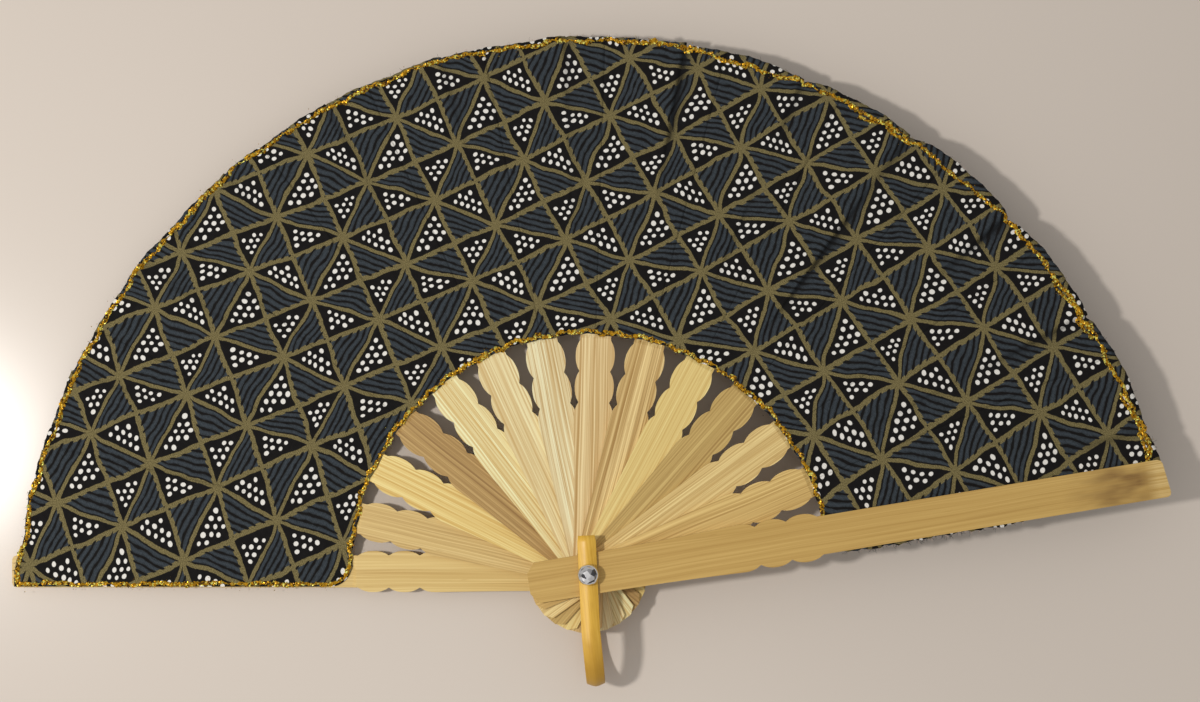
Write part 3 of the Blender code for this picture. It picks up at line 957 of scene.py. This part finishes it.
def make_frayed_edge(dark_thread, pale_thread):
    """Loose threads of the raw edge, showing past the front guard's lower edge."""
    draw = random.Random(5)
    last = stick_angle(STICK_COUNT - 1)
    ahead, beside = unit(last), unit(last - math.pi / 2)
    level = cloth_level(STICK_COUNT - 1) + CLOTH_THICKNESS / 2
    skin = bmesh.new()
    for _ in range(230):
        radius = draw.triangular(88, 163, 104) * MM
        start = (*(ahead * radius + beside * (fray(radius) - 0.5 * MM)), level)
        slope = draw.uniform(-1.2, 1.2)
        way = (*(beside + ahead * slope), draw.uniform(-0.2, 0.05))
        size = draw.uniform(0.05, 0.09) * MM
        thread(skin, start, way, draw.uniform(0.6, 2.4) * MM, size, draw, draw.choice((0, 0, 1)))
    bmesh.ops.recalc_face_normals(skin, faces=skin.faces)
    piece = new_piece("frayed_threads", skin, dark_thread, pale_thread)
    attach(piece, "front_guard")


# ---------------------------------------------------------------- sticks, loop and rivet

# Each stick's colour: dark streaks, body and bright fibres, then how strong the streaks are.
STICK_LOOKS = [
    ((176, 140, 74), (206, 176, 106), (228, 204, 142), 0.7),
    ((160, 124, 66), (198, 166, 98), (226, 202, 142), 0.8),
    ((190, 148, 66), (218, 186, 106), (242, 222, 156), 0.9),
    ((128, 94, 46), (170, 134, 76), (202, 172, 112), 0.9),
    ((186, 146, 72), (222, 198, 132), (250, 238, 190), 1.1),
    ((184, 150, 88), (220, 196, 140), (246, 230, 184), 1.0),
    ((178, 142, 82), (224, 204, 152), (252, 240, 200), 1.2),
    ((170, 132, 72), (208, 178, 122), (240, 218, 168), 1.1),
    ((156, 120, 62), (200, 168, 106), (234, 210, 150), 1.2),
    ((190, 154, 80), (218, 192, 120), (240, 222, 156), 0.8),
    ((146, 112, 56), (182, 152, 86), (208, 182, 116), 0.9),
    ((172, 136, 74), (208, 178, 112), (238, 216, 154), 1.0),
    ((160, 122, 60), (200, 167, 98), (226, 198, 130), 0.9),
    ((160, 122, 58), (190, 155, 84), (208, 176, 106), 0.55),
]


def soften(made, width):
    edges = made.modifiers.new("worn_edges", "BEVEL")
    edges.width = width
    edges.segments = 2
    edges.limit_method = "ANGLE"
    edges.angle_limit = math.radians(30)


def dress(node, finish):
    """Gives a solid from the frame its finish."""
    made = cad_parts[node]
    made.data.materials.clear()
    made.data.materials.append(finish)
    return made


def make_sticks():
    for index, body in enumerate(STICK_BODIES):
        *shades, contrast = STICK_LOOKS[index]
        paints = [paint(*shade) for shade in shades]
        guard = index in (0, STICK_COUNT - 1)
        seed, smudge = 3.1 + 4.7 * index, index == STICK_COUNT - 1
        finish = bamboo(f"bamboo_{body}", stick_angle(index), *paints, contrast, seed, smudge)
        soften(dress(body, finish), (0.3 if guard else 0.14) * MM)


def make_fittings():
    make_loop(cane())
    silver = plain("rivet_silver", (0.82, 0.82, 0.84, 1), (0.62, 0.62, 0.64, 1), 0.2, 1.0)
    for node in ("rivet_pin", "rivet_cup"):
        made = dress(node, silver)
        for polygon in made.data.polygons:
            polygon.use_smooth = len(polygon.vertices) < 5
        soften(made, 0.12 * MM)
    make_stone(cut_stone())


def make_loop(finish):
    """The bail loop: half-round cane, flat towards the stack, bent in one even curve."""
    gap, tail, reach, deep = 0.3 * MM, 13.8 * MM, 22.3 * MM, 16.5 * MM
    leg_step, leg_rings, bend_steps, sideways = 2.23 * MM, 16, 36, 0.9 * MM
    thick, half_width, side, end_trim = 2.0 * MM, 3.3 * MM, 0.85 * MM, 0.35 * MM
    round_steps = 12
    stack_low, stack_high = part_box("back_guard")[0].z - gap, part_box("front_guard")[1].z + gap
    middle, rise = (stack_high + stack_low) / 2, (stack_high - stack_low) / 2
    leg = [-tail + leg_step * i for i in range(leg_rings)]
    bends = [math.pi * i / bend_steps for i in range(bend_steps + 1)]
    path = [(x, stack_high) for x in leg]
    path += [(reach + deep * math.sin(bend), middle + rise * math.cos(bend)) for bend in bends]
    path += [(x, stack_low) for x in reversed(leg)]
    turn = math.radians(-92.0)
    ahead, beside = Vector((math.cos(turn), math.sin(turn), 0)), Vector((-math.sin(turn), math.cos(turn), 0))
    skin = bmesh.new()
    rings = []
    for i, (x, z) in enumerate(path):
        following, previous = path[min(i + 1, len(path) - 1)], path[max(i - 1, 0)]
        run = Vector((following[0] - previous[0], following[1] - previous[1])).normalized()
        outward = Vector((-run.y, run.x))
        swing = sideways * math.sin(math.pi * min(max((i - leg_rings) / bend_steps, 0), 1))
        trim = end_trim if i in (0, len(path) - 1) else 0.0
        half, flank = half_width - trim, side - trim
        profile = [(-half, trim * 0.5), (-half, flank)]
        for k in range(1, round_steps):
            lean = math.pi * k / round_steps
            crown = 1 - abs(math.cos(lean)) ** 1.45
            profile.append((-math.cos(lean) * half, flank + crown * (thick - side)))
        profile += [(half, flank), (half, trim * 0.5)]
        ring = []
        for across, lift in profile:
            spot = ahead * (x + outward.x * lift) + beside * (across + swing)
            ring.append(skin.verts.new((spot.x, spot.y, z + outward.y * lift)))
        rings.append(ring)
    count = len(rings[0])
    for ring, following in zip(rings, rings[1:]):
        for k in range(count):
            face = skin.faces.new((ring[k], ring[(k + 1) % count], following[(k + 1) % count], following[k]))
            face.smooth = 0 < k < count - 2
    skin.faces.new(rings[0])
    skin.faces.new(rings[-1])
    bmesh.ops.recalc_face_normals(skin, faces=skin.faces)
    piece = new_piece("bail_loop_cane", skin, finish)
    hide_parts("bail_loop")
    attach(piece, "bail_loop")


def make_stone(finish):
    """The foiled stone: a table, two rows of crown facets and a girdle."""
    low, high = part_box("rivet_crystal")
    radius = (high.x - low.x) / 2
    sides = 7
    skin = bmesh.new()
    rows = []
    for share, level, turn in ((0.9, 0.0, 0.0), (1.16, 0.47, 0.0), (0.9, 0.78, 0.5), (0.42, 1.0, 0.0)):
        ring = []
        for i in range(sides):
            angle = TAU * (i + turn) / sides
            height = low.z + (high.z - low.z) * level
            ring.append(skin.verts.new((radius * share * math.cos(angle), radius * share * math.sin(angle), height)))
        rows.append(ring)
    for k, (ring, following) in enumerate(zip(rows, rows[1:])):
        for i in range(sides):
            j = (i + 1) % sides
            if k == 0:
                skin.faces.new((ring[i], ring[j], following[j], following[i]))
            elif k == 1:
                skin.faces.new((ring[i], ring[j], following[i]))
                skin.faces.new((ring[j], following[j], following[i]))
            else:
                skin.faces.new((ring[i], ring[j], following[j]))
                skin.faces.new((ring[i], following[j], following[i]))
    skin.faces.new(rows[0])
    skin.faces.new(rows[-1])
    bmesh.ops.recalc_face_normals(skin, faces=skin.faces)
    piece = new_piece("rivet_stone_cut", skin, finish)
    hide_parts("rivet_crystal")
    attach(piece, "back_guard")


# ---------------------------------------------------------------- studio


def make_floor():
    f = Finish("studio_floor")
    cloud = f.noise(f.surface_place(), 3.0, 1.0)
    colour = f.tint(cloud, paint(196, 186, 177), paint(214, 205, 195))
    finish = f.close(Base_Color=colour, Roughness=0.19, Specular_IOR_Level=0.28)
    skin = bmesh.new()
    reach, level = 1.6, -0.2 * MM
    corners = [(-reach, -reach), (reach, -reach), (reach, reach), (-reach, reach)]
    skin.faces.new([skin.verts.new((*corner, level)) for corner in corners])
    floor = new_piece("studio_floor", skin, finish)


def make_lights():
    f = Finish("studio", "worlds")
    way = f.add("ShaderNodeTexCoord", {})
    lean = f.add("ShaderNodeVectorMath", {"operation": "DOT_PRODUCT"}, way, (-0.55, 0.35, 0.75), out=1)
    strength = f.ramp(lean, -0.6, 1.0, 0.22, 0.59)
    f.add("ShaderNodeOutputWorld", {}, f.add("ShaderNodeBackground", {}, (1.0, 0.975, 0.945, 1), strength))
    bpy.context.scene.world = f.holder

    key = bpy.data.lights.new("key", "AREA")
    key.shape = "DISK"
    key.size = 0.07
    key.energy = 3.7
    key.color = (1.0, 0.965, 0.92)
    lamp = bpy.data.objects.new("key", key)
    lamp.location = (-0.46, 0.085, 0.78)
    lamp.rotation_euler = (lamp.location - Vector((0.0, 0.06, 0.0))).to_track_quat("Z", "Y").to_euler()
    bpy.context.scene.collection.objects.link(lamp)


def make_camera():
    camera = bpy.data.cameras.new("camera")
    camera.lens = 70
    camera.sensor_width = 36
    camera.clip_start = 0.01
    seen = bpy.data.objects.new("camera", camera)
    seen.location = (0.0079, 0.0446, 0.85)
    camera.shift_y = 0.08
    seen.rotation_euler = (0, 0, math.radians(-4.73))
    bpy.context.scene.collection.objects.link(seen)
    bpy.context.scene.camera = seen


make_camera()
make_lights()
make_floor()
make_sticks()
make_leaf()
DARK_THREAD = plain("dark_thread", paint(40, 42, 46), paint(14, 14, 16), 0.9, grain_mm=0.3)
PALE_THREAD = plain("pale_thread", paint(206, 184, 172), paint(150, 128, 120), 0.9, grain_mm=0.3)
GOLD = glitter()
make_trim(GOLD, DARK_THREAD, PALE_THREAD)
make_frayed_edge(DARK_THREAD, PALE_THREAD)
make_fittings()

bpy.context.scene.view_settings.view_transform = "Standard"
